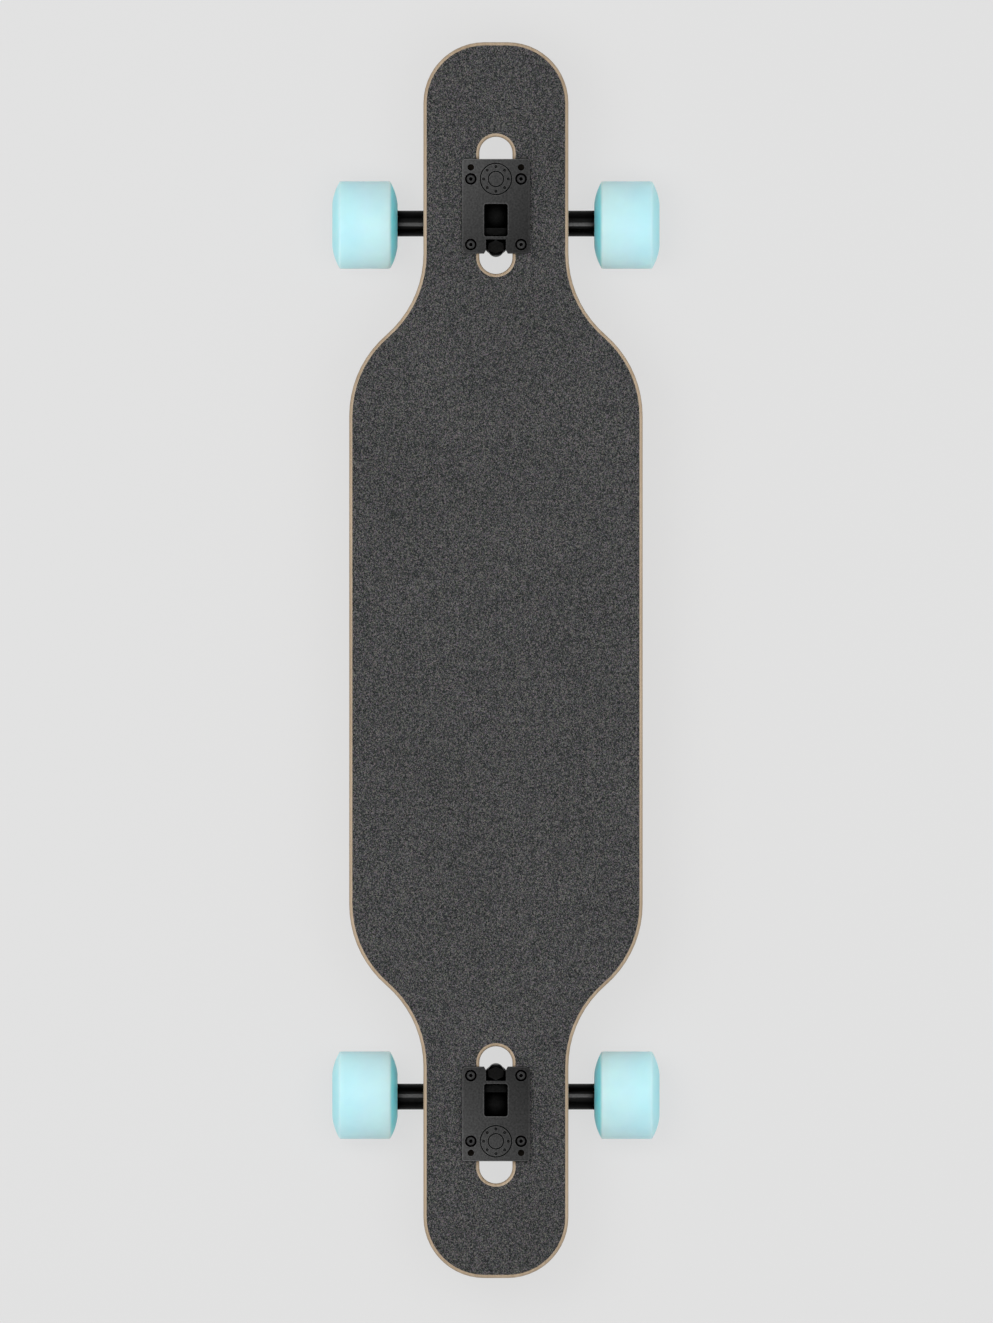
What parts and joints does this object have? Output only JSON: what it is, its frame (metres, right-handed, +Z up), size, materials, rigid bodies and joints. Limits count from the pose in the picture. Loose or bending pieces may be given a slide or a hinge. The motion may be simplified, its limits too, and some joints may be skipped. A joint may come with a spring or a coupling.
{
  "type": "longboard skateboard",
  "caption": "Flat drop-through longboard with narrow slotted ends, a dark grip sheet, leaning reverse-kingpin trucks and free-rolling pale aqua wheels.",
  "frame": {"origin": "on the ground, under the middle of the deck", "axes": "+X along the board towards the front truck, +Y left, +Z up"},
  "size_m": [1.016, 0.2696, 0.105],
  "materials": {
    "deck_wood": "clear satin lacquer over laminated maple",
    "grip_abrasive": "coarse abrasive grain",
    "baseplate_paint": "satin dark grey powder coat",
    "hanger_paint": "gloss black powder coat",
    "black_steel": "black oxide",
    "bright_steel": "zinc plated",
    "bushing_urethane": "semi-gloss cast",
    "pivot_cup_rubber": "matt",
    "wheel_urethane": "translucent satin cast",
    "wheel_core": "moulded",
    "bearing_steel": "ground and polished",
    "bearing_shield": "rubber faced",
    "bearing_cage": "moulded"
  },
  "bodies": {
    "board": {"deck": "deck_wood", "grip_sheet": "grip_abrasive", "front_baseplate": "baseplate_paint", "front_pivot_cup": "pivot_cup_rubber", "front_kingpin": "black_steel", "front_kingpin_nut": "black_steel", "front_boardside_bushing": "bushing_urethane", "front_roadside_bushing": "bushing_urethane", "front_bushing_washers": "bright_steel", "front_mounting_bolts": "black_steel", "front_mounting_nuts": "bright_steel", "rear_baseplate": "baseplate_paint", "rear_pivot_cup": "pivot_cup_rubber", "rear_kingpin": "black_steel", "rear_kingpin_nut": "black_steel", "rear_boardside_bushing": "bushing_urethane", "rear_roadside_bushing": "bushing_urethane", "rear_bushing_washers": "bright_steel", "rear_mounting_bolts": "black_steel", "rear_mounting_nuts": "bright_steel"},
    "front_hanger_set": {"front_hanger": "hanger_paint", "front_axle": "bright_steel", "front_axle_nuts": "bright_steel", "front_speed_washers": "bright_steel", "front_bearing_spacers": "bright_steel", "front_left_bearing_inner_races": "bearing_steel", "front_right_bearing_inner_races": "bearing_steel"},
    "rear_hanger_set": {"rear_hanger": "hanger_paint", "rear_axle": "bright_steel", "rear_axle_nuts": "bright_steel", "rear_speed_washers": "bright_steel", "rear_bearing_spacers": "bright_steel", "rear_left_bearing_inner_races": "bearing_steel", "rear_right_bearing_inner_races": "bearing_steel"},
    "front_left_wheel": {"front_left_wheel_urethane": "wheel_urethane", "front_left_wheel_core": "wheel_core", "front_left_bearing_outer_races": "bearing_steel", "front_left_bearing_shields": "bearing_shield"},
    "front_left_ball_set": {"front_left_bearing_balls": "bearing_steel", "front_left_bearing_cages": "bearing_cage"},
    "front_right_wheel": {"front_right_wheel_urethane": "wheel_urethane", "front_right_wheel_core": "wheel_core", "front_right_bearing_outer_races": "bearing_steel", "front_right_bearing_shields": "bearing_shield"},
    "front_right_ball_set": {"front_right_bearing_balls": "bearing_steel", "front_right_bearing_cages": "bearing_cage"},
    "rear_left_wheel": {"rear_left_wheel_urethane": "wheel_urethane", "rear_left_wheel_core": "wheel_core", "rear_left_bearing_outer_races": "bearing_steel", "rear_left_bearing_shields": "bearing_shield"},
    "rear_left_ball_set": {"rear_left_bearing_balls": "bearing_steel", "rear_left_bearing_cages": "bearing_cage"},
    "rear_right_wheel": {"rear_right_wheel_urethane": "wheel_urethane", "rear_right_wheel_core": "wheel_core", "rear_right_bearing_outer_races": "bearing_steel", "rear_right_bearing_shields": "bearing_shield"},
    "rear_right_ball_set": {"rear_right_bearing_balls": "bearing_steel", "rear_right_bearing_cages": "bearing_cage"}
  },
  "joints": [
    {"name": "front_truck_lean", "type": "hinge", "parent": "board", "child": "front_hanger_set", "pos_m": [0.35557, 0, 0.03883], "axis": [0.7071, 0, 0.7071], "range_deg": [-15, 15], "stiffness_Nm_per_rad": 40, "deforming": ["front_boardside_bushing", "front_roadside_bushing"]},
    {"name": "rear_truck_lean", "type": "hinge", "parent": "board", "child": "rear_hanger_set", "pos_m": [-0.35557, 0, 0.03883], "axis": [-0.7071, 0, 0.7071], "range_deg": [-15, 15], "stiffness_Nm_per_rad": 40, "deforming": ["rear_boardside_bushing", "rear_roadside_bushing"]},
    {"name": "front_left_wheel_roll", "type": "hinge", "parent": "front_hanger_set", "child": "front_left_wheel", "pos_m": [0.3584, 0.103, 0.036], "axis": [0, 1, 0], "continuous": true},
    {"name": "front_left_ball_set_roll", "type": "hinge", "parent": "front_hanger_set", "child": "front_left_ball_set", "pos_m": [0.3584, 0.103, 0.036], "axis": [0, 1, 0], "continuous": true},
    {"name": "front_right_wheel_roll", "type": "hinge", "parent": "front_hanger_set", "child": "front_right_wheel", "pos_m": [0.3584, -0.103, 0.036], "axis": [0, 1, 0], "continuous": true},
    {"name": "front_right_ball_set_roll", "type": "hinge", "parent": "front_hanger_set", "child": "front_right_ball_set", "pos_m": [0.3584, -0.103, 0.036], "axis": [0, 1, 0], "continuous": true},
    {"name": "rear_left_wheel_roll", "type": "hinge", "parent": "rear_hanger_set", "child": "rear_left_wheel", "pos_m": [-0.3584, 0.103, 0.036], "axis": [0, 1, 0], "continuous": true},
    {"name": "rear_left_ball_set_roll", "type": "hinge", "parent": "rear_hanger_set", "child": "rear_left_ball_set", "pos_m": [-0.3584, 0.103, 0.036], "axis": [0, 1, 0], "continuous": true},
    {"name": "rear_right_wheel_roll", "type": "hinge", "parent": "rear_hanger_set", "child": "rear_right_wheel", "pos_m": [-0.3584, -0.103, 0.036], "axis": [0, 1, 0], "continuous": true},
    {"name": "rear_right_ball_set_roll", "type": "hinge", "parent": "rear_hanger_set", "child": "rear_right_ball_set", "pos_m": [-0.3584, -0.103, 0.036], "axis": [0, 1, 0], "continuous": true}
  ],
  "couplings": [
    {"joint": "front_left_ball_set_roll", "follows": "front_left_wheel_roll", "ratio": 0.63233},
    {"joint": "front_right_ball_set_roll", "follows": "front_right_wheel_roll", "ratio": 0.63233},
    {"joint": "rear_left_ball_set_roll", "follows": "rear_left_wheel_roll", "ratio": 0.63233},
    {"joint": "rear_right_ball_set_roll", "follows": "rear_right_wheel_roll", "ratio": 0.63233}
  ]
}
